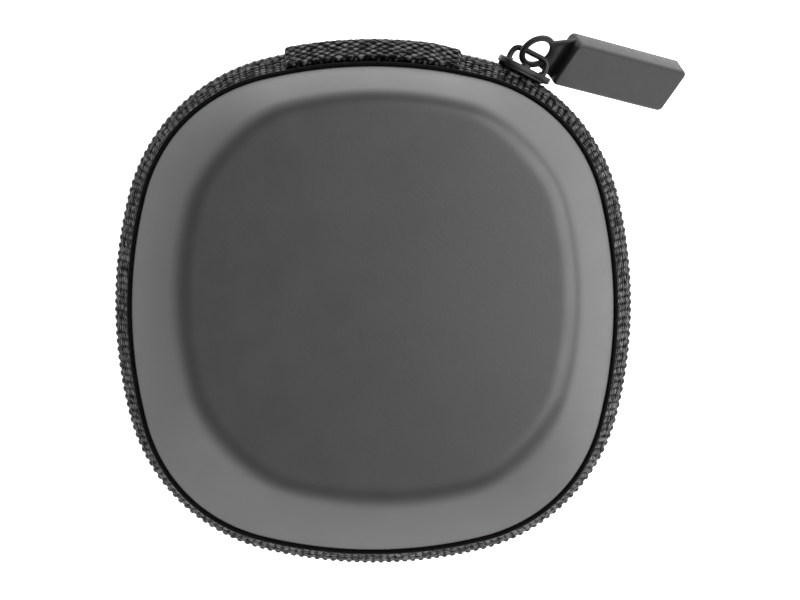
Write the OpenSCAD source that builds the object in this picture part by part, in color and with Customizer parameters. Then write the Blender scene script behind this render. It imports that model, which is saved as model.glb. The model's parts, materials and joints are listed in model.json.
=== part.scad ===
// Small zipped carrying case for in-ear headphones: two moulded foam shells under a
// smooth leatherette skin, joined by a woven gusset, a coil zip and a fabric hinge.
// The origin is at the middle of the flat base, +Z is up and +Y points to the hinge.

/* [Case] */
// Width of the closed case over the zip teeth
case_w = 80; // [76:0.5:90]
// Depth of the closed case over the zip teeth, without the hinge strip
case_d = 80.4; // [76.4:0.5:90.4]
// Height of the closed case
case_h = 38; // [36:0.5:44]
// Radius of each gently curved side, at the zip teeth
side_r = 70; // [66:1:84]
// Radius of each corner, at the zip teeth
corner_r = 28.8; // [27.6:0.2:31]

/* [Shells] */
// Slope of each shell's shoulder
shoulder_slope = 54; // [50:1:56]
// Radius that blends the shoulder into the flat panel
panel_fillet = 5.4; // [5.2:0.2:7]
// How far the flat panel sits towards the hinge from the middle
panel_back = 2.4; // [0:0.2:2.6]
// How far the flat panel sits to the right of the middle
panel_right = 0.8; // [0:0.2:1.2]
// How much rounder the flat panel's corners are than the outline's
panel_round = 1.6; // [0:0.2:1.8]
// Thickness of the leatherette skin
skin_t = 0.7; // [0.5:0.05:0.75]
// Thickness of the moulded foam
foam_t = 3; // [2.6:0.1:3.2]
// Thickness of the jersey lining
lining_t = 0.7; // [0.5:0.1:0.9]

/* [Gusset and zip] */
// Thickness of the woven gusset
band_t = 0.85; // [0.6:0.05:0.9]
// Thickness of the zip tape
tape_t = 0.5; // [0.35:0.05:0.55]
// Diameter of the piping cord at the top of the gusset
welt_d = 0.8; // [0.6:0.05:0.85]
// Height of one half of the zip chain
coil_h = 1.75; // [1.5:0.05:1.8]

/* [Hinge] */
// Width of the fabric hinge strip along the back
hinge_w = 27.2; // [24:0.2:30]
// Thickness of the fabric hinge strip
hinge_t = 0.8; // [0.6:0.05:0.9]

/* [Zip slider and puller] */
// Direction from the corner's centre to the slider, from +X towards +Y
slider_angle = 63; // [58:1:64]
// Length of the slider
slider_l = 8.7; // [8:0.1:9]
// Length of the rubber tab
tab_l = 23; // [16:0.5:23]
// Width of the rubber tab
tab_w = 8.2; // [7:0.1:8.2]
// Thickness of the rubber tab
tab_t = 3.4; // [3:0.1:3.6]
// Angle of the tab below the horizontal
tab_droop = 35.5; // [30:0.5:36]
// Roll of the tab about its own length
tab_roll = 32; // [28:1:34]

/* [Hidden] */
$fn = 96;

// ---- Outline of the case, at the zip teeth: four side arcs and four corner arcs ----
half_w = case_w / 2;
half_d = case_d / 2;
half_h = case_h / 2;
side_x = half_w - side_r;             // centre of the right side's arc
side_y = half_d - side_r;             // centre of the back side's arc
reach = side_r - corner_r;            // from a side's centre to a corner's centre
chord = norm([side_x, side_y]);
rise = sqrt(reach * reach - chord * chord / 4);
corner_x = side_x / 2 - rise * side_y / chord;
corner_y = side_y / 2 - rise * side_x / chord;
corner_from = atan2(corner_y, corner_x - side_x);
corner_to = atan2(corner_y - side_y, corner_x);

// Each arc: first and last angle of its outward normal, centre, radius, and its facets
ARCS = [
  [-corner_from, corner_from, [side_x, 0], side_r, 5],
  [corner_from, corner_to, [corner_x, corner_y], corner_r, 9],
  [corner_to, 180 - corner_to, [0, side_y], side_r, 5],
  [180 - corner_to, 180 - corner_from, [-corner_x, corner_y], corner_r, 9],
  [180 - corner_from, 180 + corner_from, [-side_x, 0], side_r, 5],
  [180 + corner_from, 180 + corner_to, [-corner_x, -corner_y], corner_r, 9],
  [180 + corner_to, 360 - corner_to, [0, -side_y], side_r, 5],
  [360 - corner_to, 360 - corner_from, [corner_x, -corner_y], corner_r, 9]
];

// Angles of the hinge strip's two ends, and of the zip's ends tucked under it
hinge_half = asin(hinge_w / 2 / side_r);
tuck = 2.4;                           // how far the zip runs under the strip, in degrees
hinge_from = 90 - hinge_half;
hinge_to = 90 + hinge_half;
zip_from = hinge_to - tuck;
zip_to = 360 + hinge_from + tuck;

// ---- Cross-section of one half: x is outwards from the zip teeth, y is up from them ----
bond = 0.05;                          // glue line between layers
lean = 0.32;                          // how far the gusset leans in for each mm of height
coil_low = 0.45;                      // half of the gap that the slider's web runs in
coil_t = 1.75;
band_low = 2.45;
band_out = -0.7;                      // outer face of the gusset at its lower edge
band_high = 9;
tape_low = 0.5;
tape_kink = 2.2;                      // above this the tape leans with the gusset
tape_out = -1.8;
tape_high = 8;
rim_low = 4.2;                        // lower edge of the foam shell
rim_out = -3.05;                      // outer face of the foam's flange at that edge
rim_high = 9;
lip_r = 0.8;
lip = [-4.25, 9.85];                  // centre of the rounded lip over the gusset
normal_a = 90 - shoulder_slope;       // elevation of the shoulder's outward normal
binding_t = 0.4;
binding_high = 7.4;

function arc_points(centre, r, from, to, steps) =
  [for (i = [0:steps]) let (a = from + (to - from) * i / steps)
    centre + r * [cos(a), sin(a)]];

function along(u, a) = u[0] * cos(a) + u[1] * sin(a);

// Point of the shoulder at an x, at a depth below its outer surface
function shoulder_at(x, depth) =
  [x, (along(lip, normal_a) + lip_r - depth - x * cos(normal_a)) / sin(normal_a)];

// Centre of the fillet between shoulder and panel, level with its own radius below the top
fillet_y = half_h - panel_fillet;
fillet_x = (along(lip, normal_a) + lip_r - panel_fillet - fillet_y * sin(normal_a))
  / cos(normal_a);

// Fillet from the shoulder in to the panel's edge, at a depth below the outer surface
function fillet_line(depth, steps = 3) =
  arc_points([fillet_x, fillet_y], panel_fillet - depth, normal_a, 90, steps);

// Inner face of the flange at a height, at a depth behind the foam's outer face
function flange_x(h, depth) = rim_out - depth - (h - rim_low) * lean;

// Corner where the flange's inner face meets the shoulder's, at the same depth
function inner_corner(depth) = let (
  shoulder = along(lip, normal_a) + lip_r - depth,
  h = (shoulder - flange_x(0, depth - skin_t) * cos(normal_a))
    / (sin(normal_a) - lean * cos(normal_a))
) [flange_x(h, depth - skin_t), h];

function inner_line(depth) = concat(
  [[flange_x(rim_low, depth - skin_t), rim_low], inner_corner(depth)],
  fillet_line(depth)
);

function reversed(points) = [for (i = [len(points) - 1:-1:0]) points[i]];

// ---- Shared shapes ----
// One station on the outline: an arc's centre, its radius, a normal's angle, and how far
// the flat facet there lies inside the true arc
function station(arc, a) = let (
  step = (arc[1] - arc[0]) / arc[4],
  part = (a - arc[0]) / step,
  off = (part - floor(part) - 0.5) * step
) [arc[2], arc[3], a, cos(step / 2) / cos(off)];

// A profile point at a station. Above the lip the shells lean, which carries the panel over,
// and their corners grow rounder.
function placed(s, p) = let (
  over = max(0, p.y - lip.y) / (half_h - lip.y),
  out = (s[1] + p.x) * s[3] - over * panel_round * pow(sin(2 * s[2]), 2)
) [
  s[0].x + out * cos(s[2]) + over * panel_right,
  s[0].y + out * sin(s[2]) + over * panel_back,
  p.y
];

// The arcs of one full turn and of the next one
TURNS = [for (turn = [0, 360], arc = ARCS) [arc[0] + turn, arc[1] + turn, arc[2], arc[3], arc[4]]];

// Stations from one normal's angle to another, at the start of every facet
function stations(from, to) = [
  for (arc = TURNS, i = [0:arc[4] - 1]) let (
    step = (arc[1] - arc[0]) / arc[4],
    start = arc[0] + i * step
  ) if (start + step > from + 0.01 && start < to - 0.01) station(arc, max(from, start))
];

function last_station(to) =
  [for (arc = TURNS) if (to > arc[0] && to <= arc[1]) station(arc, to)][0];

// The four corners of each facet between two neighbouring stations and profile points
function sides(rows, columns, m) = [
  for (i = rows, j = columns)
    [i[0] * m + j[0], i[1] * m + j[0], i[1] * m + j[1], i[0] * m + j[1]]
];

function pairs(n, closed) = [for (i = [0:n - (closed ? 1 : 2)]) [i, (i + 1) % n]];

// Sweeps a closed profile all the way round the outline. Profiles run clockwise.
module ring(profile) {
  path = stations(-corner_from, 360 - corner_from);
  n = len(path);
  m = len(profile);
  polyhedron([for (s = path, p = profile) placed(s, p)], sides(pairs(n, true), pairs(m, true), m));
}

// Sweeps a closed profile part of the way round, with flat ends
module strip(profile, from, to) {
  path = concat(stations(from, to), [last_station(to)]);
  n = len(path);
  m = len(profile);
  polyhedron([for (s = path, p = profile) placed(s, p)], concat(
    sides(pairs(n, false), pairs(m, true), m),
    [[for (j = [0:m - 1]) j], [for (j = [m - 1:-1:0]) (n - 1) * m + j]]
  ));
}

// A dish: a profile from the panel's outer face over the rim to its inner face, swept
// all the way round, closed by two flat panels and kept within the case's outline
module dish(profile) {
  path = stations(-corner_from, 360 - corner_from);
  n = len(path);
  m = len(profile);
  intersection() {
    polyhedron([for (s = path, p = profile) placed(s, p)], concat(
      sides(pairs(n, true), pairs(m, false), m),
      [[for (i = [n - 1:-1:0]) i * m], [for (i = [0:n - 1]) i * m + m - 1]]
    ));
    linear_extrude(case_h) outline(0);
  }
}

// The outline as a flat shape, inset from the zip teeth
module outline(inset) {
  polygon([for (s = stations(-corner_from, 360 - corner_from))
    let (p = placed(s, [-inset, 0])) [p.x, p.y]]);
}

module upper_half() { translate([0, 0, half_h]) children(); }
module lower_half() { translate([0, 0, half_h]) mirror([0, 0, 1]) children(); }

// ---- Pieces that both halves have ----
module skin() {
  dish(concat(
    reversed(fillet_line(0, 6)),
    arc_points(lip, lip_r, normal_a, -90, 3),
    [shoulder_at(lip.x, skin_t)],
    fillet_line(skin_t)
  ));
}

module core() {
  outer = skin_t + bond;
  dish(concat(
    reversed(fillet_line(outer)),
    [shoulder_at(lip.x - bond, outer)],
    [[flange_x(rim_high, 0), rim_high], [rim_out, rim_low]],
    inner_line(outer + foam_t)
  ));
}

module lining() {
  outer = skin_t + foam_t + 2 * bond;
  dish(concat(reversed(inner_line(outer)), inner_line(outer + lining_t)));
}

// Tape folded under the foam's lower edge and up over the lining
module binding() {
  inner = foam_t + lining_t + 3 * bond;
  under = rim_low - bond;
  fold = under - binding_t;
  ring([
    [rim_out, fold],
    [flange_x(fold, inner) - binding_t, fold],
    [flange_x(binding_high, inner) - binding_t, binding_high],
    [flange_x(binding_high, inner), binding_high],
    [flange_x(under, inner), under],
    [rim_out, under]
  ]);
}

module band() {
  top = band_out - (band_high - band_low) * lean;
  strip([
    [band_out, band_low], [band_out - band_t, band_low],
    [top - band_t, band_high], [top, band_high]
  ], hinge_to - 2 * tuck, 360 + hinge_from + 2 * tuck);
}

module welt() {
  seat = [lip.x + lip_r + welt_d / 2, band_high + 0.1 + welt_d / 2];
  ring([for (i = [0:6]) seat + welt_d / 2 * [cos(-360 * i / 7), sin(-360 * i / 7)]]);
}

module zip_tape() {
  top = tape_out - (tape_high - tape_kink) * lean;
  strip([
    [tape_out, tape_low], [tape_out - tape_t, tape_low], [tape_out - tape_t, tape_kink],
    [top - tape_t, tape_high], [top, tape_high], [tape_out, tape_kink]
  ], zip_from, zip_to);
}

// One side of the zip chain, as a bead that holds the coil's teeth
module zip_coil() {
  middle = [-coil_t / 2, coil_low + coil_h / 2];
  strip([for (i = [0:7]) let (a = -45 * i - 22.5)
    middle + [coil_t * cos(a), coil_h * sin(a)] / 2 / cos(22.5)], zip_from, zip_to);
}

// ---- Fabric hinge at the back, which bends as the lid opens ----
// Sweeps a fabric strip of a given thickness whose outer or inner face follows a line
module fabric(line, t) {
  upper_half() strip(concat(line, [for (p = reversed(line)) p + [t, 0]]), hinge_from, hinge_to);
}

module hinge_strip() {
  foot = band_high - 0.3;
  out = band_out - (foot - band_low) * lean + bond;
  stand_off = 0.1;                    // how far the strip stands off the zip teeth
  fabric([[out, -foot], [stand_off, -band_low], [stand_off, band_low], [out, foot]], hinge_t);
}

module hinge_lining() {
  inner = foam_t + lining_t + 4 * bond + binding_t;
  foot = binding_high - 0.6;
  fabric([for (h = [-foot, -rim_low, rim_low, foot])
    [flange_x(abs(h), inner) - lining_t, h]], lining_t);
}

// ---- Mesh pocket in the front half of the lid ----
pocket_t = 0.3;
pocket_h = 5.2;                       // height of the net over the zip teeth
hem_y = 8;                            // where the elastic hem crosses the lid
hem_d = 1.6;
pocket_inset = 7.8;                   // where the net is sewn to the lining, from the zip teeth
hem_short = 1.2;                      // how far each end of the hem stops before the net's edge

module lid_pocket() {
  upper_half() translate([0, 0, pocket_h - pocket_t / 2]) linear_extrude(pocket_t)
    difference() {
      outline(pocket_inset);
      translate([-half_w, hem_y - bond]) square([case_w, half_d]);
    }
}

module pocket_elastic() {
  hem_l = 2 * (half_w - pocket_inset - hem_short);
  upper_half() translate([-hem_l / 2, hem_y + hem_d / 2, pocket_h])
    rotate([0, 90, 0]) cylinder(d = hem_d, h = hem_l);
}

// ---- Zip slider, on the right-hand back corner ----
slider_w = 6;                         // across the chain
plate_out = 1.2;                      // outer face of the slider, from the zip teeth
plate_t = 1;
inner_out = -3.25;                    // face of the inner plate towards the tape
inner_t = 0.8;
plate_r = 1.6;                        // corner radius of both plates
web_l = 3;
web_t = 0.4;
web_seat = 0.2;                       // how far the web runs into each plate
bail_w = 6.2;                         // along the zip
bail_r = 0.9;
bail_t = 0.6;
bar_t = 0.55;
bar_out = 3.25;                       // middle of the bail's bar, from the zip teeth

module at_slider() {
  translate([corner_x, corner_y, half_h]) rotate(slider_angle)
    translate([corner_r, 0]) children();
}

module rounded_plate(size, r, t) {
  linear_extrude(t) {
    square([size[0] - 2 * r, size[1]], center = true);
    square([size[0], size[1] - 2 * r], center = true);
    for (x = [-1, 1], y = [-1, 1])
      translate([x * (size[0] / 2 - r), y * (size[1] / 2 - r)]) circle(r);
  }
}

module slider_body() {
  at_slider() {
    translate([plate_out - plate_t, 0]) rotate([0, 90, 0])
      rounded_plate([slider_w, slider_l], plate_r, plate_t);
    translate([inner_out - inner_t, 0]) rotate([0, 90, 0])
      rounded_plate([slider_w, slider_l], plate_r, inner_t);
    translate([inner_out - web_seat, -web_l / 2, -web_t / 2])
      cube([plate_out - plate_t - inner_out + 2 * web_seat, web_l, web_t]);
  }
}

module slider_bail() {
  bail_high = bar_out + bar_t / 2 - plate_out;
  at_slider() translate([plate_out + bail_high / 2, 0, -bail_t / 2]) difference() {
    rounded_plate([bail_high, bail_w], bail_r, bail_t);
    translate([-bar_t, 0, -bail_t])
      rounded_plate([bail_high, bail_w - 2 * bar_t], bail_r - bar_t, 3 * bail_t);
  }
  // feet that join the arch to the plate
  at_slider() for (y = [-1, 1])
    translate([plate_out, y * (bail_w - bar_t) / 2 - bar_t / 2, -bail_t / 2])
      cube([1, bar_t, bail_t]);
}

// ---- Puller: a metal eye moulded into a rubber tab ----
tab_turn = 13.7;                      // the tab's heading, outwards from the zip's direction
eye_at = [0.6, 0.8];                  // centre of the eye, from the bail's bar
eye_hole_r = 2.1;
eye_wire = 0.78;
eye_t = 0.6;
neck_l = 2.3;
neck_from = 3.2;                      // width of the neck where it leaves the eye
neck_to = 6.6;                        // and where it meets the rubber
tongue_l = 8;
tongue_w = 4.5;
tab_start = eye_hole_r + eye_wire + 2.05;
tab_r = 1;

module at_puller() {
  at_slider() translate([bar_out, 0])
    rotate([tab_roll, tab_droop, tab_turn - 90]) translate(eye_at) children();
}

module tongue(play) {
  translate([tab_start - 0.1 - play, -tongue_w / 2 - play, -eye_t / 2 - play])
    cube([tongue_l + 0.1 + 2 * play, tongue_w + 2 * play, eye_t + 2 * play]);
}

module pull_eye() {
  at_puller() {
    difference() {
      translate([0, 0, -eye_t / 2]) linear_extrude(eye_t) {
        circle(eye_hole_r + eye_wire);
        polygon([
          [tab_start - neck_l, -neck_from / 2], [tab_start - 0.05, -neck_to / 2],
          [tab_start - 0.05, neck_to / 2], [tab_start - neck_l, neck_from / 2]
        ]);
      }
      translate([0, 0, -eye_t]) cylinder(r = eye_hole_r, h = 2 * eye_t);
    }
    tongue(0);
  }
}

module pull_tab() {
  at_puller() difference() {
    translate([tab_start + tab_l / 2, 0, -tab_t / 2]) rounded_plate([tab_l, tab_w], tab_r, tab_t);
    tongue(bond);
  }
}

// ---- One module per node ----
module base_skin() { color([0.30, 0.30, 0.31]) lower_half() skin(); }
module base_core() { color([0.16, 0.16, 0.17]) lower_half() core(); }
module base_lining() { color([0.10, 0.10, 0.11]) lower_half() lining(); }
module base_binding() { color([0.08, 0.08, 0.08]) lower_half() binding(); }
module base_band() { color([0.07, 0.07, 0.07]) lower_half() band(); }
module base_welt() { color([0.03, 0.03, 0.03]) lower_half() welt(); }
module base_zip_tape() { color([0.06, 0.06, 0.06]) lower_half() zip_tape(); }
module base_zip_coil() { color([0.05, 0.05, 0.05]) lower_half() zip_coil(); }
module lid_skin() { color([0.30, 0.30, 0.31]) upper_half() skin(); }
module lid_core() { color([0.16, 0.16, 0.17]) upper_half() core(); }
module lid_lining() { color([0.10, 0.10, 0.11]) upper_half() lining(); }
module lid_binding() { color([0.08, 0.08, 0.08]) upper_half() binding(); }
module lid_band() { color([0.07, 0.07, 0.07]) upper_half() band(); }
module lid_welt() { color([0.03, 0.03, 0.03]) upper_half() welt(); }
module lid_zip_tape() { color([0.06, 0.06, 0.06]) upper_half() zip_tape(); }
module lid_zip_coil() { color([0.05, 0.05, 0.05]) upper_half() zip_coil(); }

base_skin();
base_core();
base_lining();
base_binding();
base_band();
base_welt();
base_zip_tape();
base_zip_coil();
color([0.08, 0.08, 0.08]) hinge_strip();
color([0.10, 0.10, 0.11]) hinge_lining();
lid_skin();
lid_core();
lid_lining();
lid_binding();
lid_band();
lid_welt();
lid_zip_tape();
lid_zip_coil();
color([0.12, 0.12, 0.12]) lid_pocket();
color([0.05, 0.05, 0.05]) pocket_elastic();
color([0.06, 0.06, 0.06]) slider_body();
color([0.06, 0.06, 0.06]) slider_bail();
color([0.05, 0.05, 0.05]) pull_eye();
color([0.22, 0.22, 0.22]) pull_tab();
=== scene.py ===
import json
import math

import bpy
import numpy as np
from mathutils import Matrix, Vector

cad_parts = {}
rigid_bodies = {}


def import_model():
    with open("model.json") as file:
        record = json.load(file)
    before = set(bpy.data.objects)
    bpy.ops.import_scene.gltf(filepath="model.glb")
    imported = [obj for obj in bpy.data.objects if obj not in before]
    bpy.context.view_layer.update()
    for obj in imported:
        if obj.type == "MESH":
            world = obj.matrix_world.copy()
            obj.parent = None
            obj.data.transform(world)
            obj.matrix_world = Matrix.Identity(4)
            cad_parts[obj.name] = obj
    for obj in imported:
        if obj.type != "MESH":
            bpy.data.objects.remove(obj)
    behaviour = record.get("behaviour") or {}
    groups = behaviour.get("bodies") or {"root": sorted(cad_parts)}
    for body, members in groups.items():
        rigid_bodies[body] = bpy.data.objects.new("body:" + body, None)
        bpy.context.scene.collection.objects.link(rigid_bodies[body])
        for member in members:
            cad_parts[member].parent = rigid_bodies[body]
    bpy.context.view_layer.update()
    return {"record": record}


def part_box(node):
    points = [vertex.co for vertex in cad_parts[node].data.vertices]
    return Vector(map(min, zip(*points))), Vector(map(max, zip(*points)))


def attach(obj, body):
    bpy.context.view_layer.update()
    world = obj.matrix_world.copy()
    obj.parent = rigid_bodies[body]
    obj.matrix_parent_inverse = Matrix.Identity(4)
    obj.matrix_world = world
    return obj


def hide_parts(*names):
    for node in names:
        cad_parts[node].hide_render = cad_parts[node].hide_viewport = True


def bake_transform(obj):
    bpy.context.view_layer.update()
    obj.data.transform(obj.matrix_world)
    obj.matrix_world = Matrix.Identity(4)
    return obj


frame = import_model()
MM = 0.001


def box_mm(node):
    lo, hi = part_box(node)
    return np.array(lo) / MM, np.array(hi) / MM


def joint(name):
    return next(j for j in frame["record"]["behaviour"]["joints"] if j["name"] == name)


# ---- Outline of the case at the zip teeth, as in the CAD: four side and four corner arcs ----
SIDE_R, CORNER_R = 70.0, 28.8
BAND_LO, BAND_HI = box_mm("base_band")
HALF_W = BAND_HI[0] + 0.79
HALF_D = -BAND_LO[1] + 0.79
MID = (box_mm("base_zip_coil")[1][2] + box_mm("lid_zip_coil")[0][2]) / 2
HALF_H = box_mm("lid_skin")[1][2] - MID
LIP_R = 0.8
LIP = (-4.25, 9.85)             # the rounded lip over the gusset, outwards and up from the teeth
PANEL_RIGHT, PANEL_BACK = 0.8, 2.4


def make_arcs():
    side_x, side_y, reach = HALF_W - SIDE_R, HALF_D - SIDE_R, SIDE_R - CORNER_R
    chord = math.hypot(side_x, side_y)
    rise = math.sqrt(reach * reach - chord * chord / 4)
    cx, cy = side_x / 2 - rise * side_y / chord, side_y / 2 - rise * side_x / chord
    a, b = math.degrees(math.atan2(cy, cx - side_x)), math.degrees(math.atan2(cy - side_y, cx))
    arcs = [
        (-a, a, side_x, 0, SIDE_R), (a, b, cx, cy, CORNER_R),
        (b, 180 - b, 0, side_y, SIDE_R), (180 - b, 180 - a, -cx, cy, CORNER_R),
        (180 - a, 180 + a, -side_x, 0, SIDE_R), (180 + a, 180 + b, -cx, -cy, CORNER_R),
        (180 + b, 360 - b, 0, -side_y, SIDE_R), (360 - b, 360 - a, cx, -cy, CORNER_R),
    ]
    return np.array(arcs, float)


ARCS = make_arcs()
LENGTHS = np.radians(ARCS[:, 1] - ARCS[:, 0]) * ARCS[:, 4]
STARTS = np.concatenate([[0], np.cumsum(LENGTHS)])
AROUND = STARTS[-1]


def s_of(angle):
    """Distance along the outline at which its outward normal points at an angle."""
    turns, angle = divmod(angle - ARCS[0, 0], 360)
    angle += ARCS[0, 0]
    i = max(k for k in range(8) if ARCS[k, 0] <= angle + 1e-9)
    return turns * AROUND + STARTS[i] + math.radians(angle - ARCS[i, 0]) * ARCS[i, 4]


def around(s):
    """Arc centre, radius and normal angle (radians) at distances along the outline."""
    s = np.mod(np.asarray(s, float), AROUND)
    i = np.clip(np.searchsorted(STARTS, s, side="right") - 1, 0, 7)
    arc = ARCS[i]
    return arc[:, 2], arc[:, 3], arc[:, 4], np.radians(arc[:, 0]) + (s - STARTS[i]) / arc[:, 4]


def fuller(angle, y):
    """The shells' lips are squarer than the zip, and the panels' corners are rounder."""
    t = np.clip((np.abs(y) - 2.5) / 6.5, 0, 1)
    over = above_lip(y)
    corner, side = np.sin(2 * angle) ** 2, np.cos(angle) ** 2
    return (0.42 * t * t * (3 - 2 * t) - 1.6 * over) * corner - 0.6 * over * side


def above_lip(y):
    """0 at the lip and 1 at the flat panel."""
    return np.maximum(0, np.abs(y) - LIP[1]) / (HALF_H - LIP[1])


def shift(y):
    """How far the shells lean over at a height, which carries the panel off centre."""
    over = above_lip(y)
    return PANEL_RIGHT * over, PANEL_BACK * over


def place(s, x, y, square=True):
    """Points in mm, from distance along the outline, offset outwards and height off mid-plane."""
    s, x, y = np.broadcast_arrays(np.asarray(s, float), x, y)
    cx, cy, r, a = (v.reshape(s.shape) for v in around(s.ravel()))
    out = r + x + (fuller(a, y) if square else 0)
    right, back = shift(y)
    return np.stack([cx + out * np.cos(a) + right, cy + out * np.sin(a) + back, MID + y], axis=-1)


# ---- Mesh helpers ----
def new_object(name, verts_mm, faces, uvs=None, smooth=True):
    mesh = bpy.data.meshes.new(name)
    mesh.from_pydata((np.asarray(verts_mm, float) * MM).tolist(), [], faces)
    if uvs is not None:
        mesh.uv_layers.new(name="weave").data.foreach_set("uv", np.asarray(uvs, float).ravel())
    mesh.polygons.foreach_set("use_smooth", [smooth] * len(mesh.polygons))
    mesh.update()
    obj = bpy.data.objects.new(name, mesh)
    bpy.context.scene.collection.objects.link(obj)
    return obj


def grid(points, u=None, v=None, ring_u=False, ring_v=False, centre=None):
    """Vertices, quads and corner UVs (mm / 100) of a grid of points [nu, nv, 3]."""
    nu, nv = points.shape[:2]
    verts = points.reshape(-1, 3)
    iu, iv = np.arange(nu if ring_u else nu - 1), np.arange(nv if ring_v else nv - 1)
    i, j = (k.ravel() for k in np.meshgrid(iu, iv, indexing="ij"))
    i2, j2 = (i + 1) % nu, (j + 1) % nv
    quads = np.stack([i * nv + j, i2 * nv + j, i2 * nv + j2, i * nv + j2], axis=1)
    faces = quads.tolist()
    uvs = None
    if u is not None:
        u = np.append(u, 2 * u[-1] - u[-2])
        v = np.append(v, 2 * v[-1] - v[-2])
        cu = np.stack([u[i], u[i + 1], u[i + 1], u[i]], axis=1)
        cv = np.stack([v[j], v[j], v[j + 1], v[j + 1]], axis=1)
        uvs = np.stack([cu, cv], axis=-1).reshape(-1, 2) / 100
    if centre is not None:  # closes the last column with a fan to one point
        hub = len(verts)
        verts = np.vstack([verts, centre])
        fan = [[k * nv + nv - 1, ((k + 1) % nu) * nv + nv - 1, hub] for k in range(nu)]
        faces += fan
        if uvs is not None:
            extra = [[u[k] / 100, v[nv - 1] / 100] for k in range(nu) for _ in range(3)]
            uvs = np.vstack([uvs, extra])
    return verts, faces, uvs


def join(parts):
    """Several (verts, faces, uvs) as one."""
    verts, faces, uvs, base = [], [], [], 0
    for p in parts:
        verts.append(p[0])
        faces += [[k + base for k in f] for f in p[1]]
        if p[2] is not None:
            uvs.append(p[2])
        base += len(p[0])
    return np.vstack(verts), faces, (np.vstack(uvs) if uvs else None)


def frames_along(path, closed=False, up=(0, 0, 1)):
    path = np.asarray(path, float)
    tangent = np.roll(path, -1, 0) - np.roll(path, 1, 0) if closed else np.gradient(path, axis=0)
    tangent /= np.linalg.norm(tangent, axis=1, keepdims=True)
    side = np.cross(tangent, up)
    side /= np.maximum(np.linalg.norm(side, axis=1, keepdims=True), 1e-9)
    return path, side, np.cross(side, tangent)


def tube(path, a, b=None, n=8, closed=False, up=(0, 0, 1), taper=False):
    """A tube with an elliptical section, as (verts, faces, uvs) with rounded ends."""
    b = a if b is None else b
    path, side, over = frames_along(path, closed, up)
    angle = np.linspace(0, 2 * np.pi, n, endpoint=False)
    size = np.ones(len(path))
    if taper:
        size[[0, -1]] = 0.35
        size[[1, -2]] = 0.85
    points = (path[:, None] + side[:, None] * (a * np.cos(angle))[None, :, None] * size[:, None, None]
              + over[:, None] * (b * np.sin(angle))[None, :, None] * size[:, None, None])
    length = np.concatenate([[0], np.cumsum(np.linalg.norm(np.diff(path, axis=0), axis=1))])
    verts, faces, uvs = grid(points, length, angle * a, closed, True)
    if not closed:
        m = len(path)
        faces = faces + [list(range(n)), [(m - 1) * n + k for k in range(n - 1, -1, -1)]]
        uvs = np.vstack([uvs, np.zeros((2 * n, 2))])
    return verts, faces, uvs


def smooth_path(points, n, closed=False):
    """Catmull-Rom through points, resampled to n."""
    p = np.asarray(points, float)
    p = np.vstack([p[-1], p, p[0], p[1]]) if closed else np.vstack([2 * p[0] - p[1], p, 2 * p[-1] - p[-2]])
    out, count = [], len(p) - 3
    for t in np.linspace(0, count, n, endpoint=not closed):
        k = min(int(t), count - 1)
        f = t - k
        a, b, c, d = p[k:k + 4]
        out.append(0.5 * (2 * b + (c - a) * f + (2 * a - 5 * b + 4 * c - d) * f * f
                          + (3 * b - a - 3 * c + d) * f ** 3))
    return np.array(out)


def resample(line, step):
    line = np.asarray(line, float)
    d = np.concatenate([[0], np.cumsum(np.linalg.norm(np.diff(line, axis=0), axis=1))])
    n = max(2, int(round(d[-1] / step)) + 1)
    t = np.linspace(0, d[-1], n)
    return np.stack([np.interp(t, d, line[:, k]) for k in range(line.shape[1])], axis=1), t


def arc(cx, cy, r, a0, a1, n):
    a = np.radians(np.linspace(a0, a1, n))
    return np.stack([cx + r * np.cos(a), cy + r * np.sin(a)], axis=1)


def plain_weave(a, b):
    """Height 0..1 of a plain weave with yarns of pitch 1 along both directions."""
    fa, fb = a - np.floor(a) - 0.5, b - np.floor(b) - 0.5
    over = (np.floor(a) + np.floor(b)) % 2 < 0.5
    across, length = np.where(over, fa, fb), np.where(over, fb, fa)
    return np.sqrt(np.maximum(1 - (2 * across) ** 2 * 0.92, 0)) * (1 - 0.55 * (2 * length) ** 2)


# ---- Materials ----
FLOOR_GLOW, FLOOR_RISE = 1.15, 3.0    # the floor's own glow, and a painted brightening of it towards the right
YARN = 1.12                     # pitch of the gusset's yarns in mm


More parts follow.
